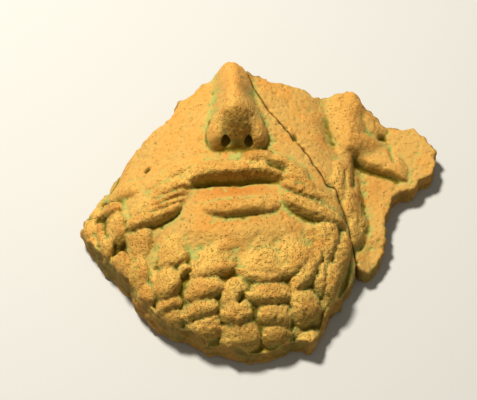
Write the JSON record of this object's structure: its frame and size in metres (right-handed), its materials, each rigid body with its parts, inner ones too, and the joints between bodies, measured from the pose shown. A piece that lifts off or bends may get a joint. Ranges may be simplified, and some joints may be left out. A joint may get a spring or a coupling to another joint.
{
  "type": "antefix fragment",
  "caption": "Broken lower half of a terracotta antefix: a bearded mask with an animal ear in high relief on its plate, mended across.",
  "frame": {"origin": "centre of the overall box, at the flat back that the fragment lies on", "axes": "+X towards the animal ear, +Y towards the broken forehead edge, +Z out of the face"},
  "size_m": [0.178, 0.1436, 0.0616],
  "materials": {
    "terracotta": "fired clay, pitted and worn, with grey green soil in the hollows"
  },
  "bodies": {
    "root": {"beard_sherd": "terracotta", "ear_sherd": "terracotta"}
  },
  "joints": []
}
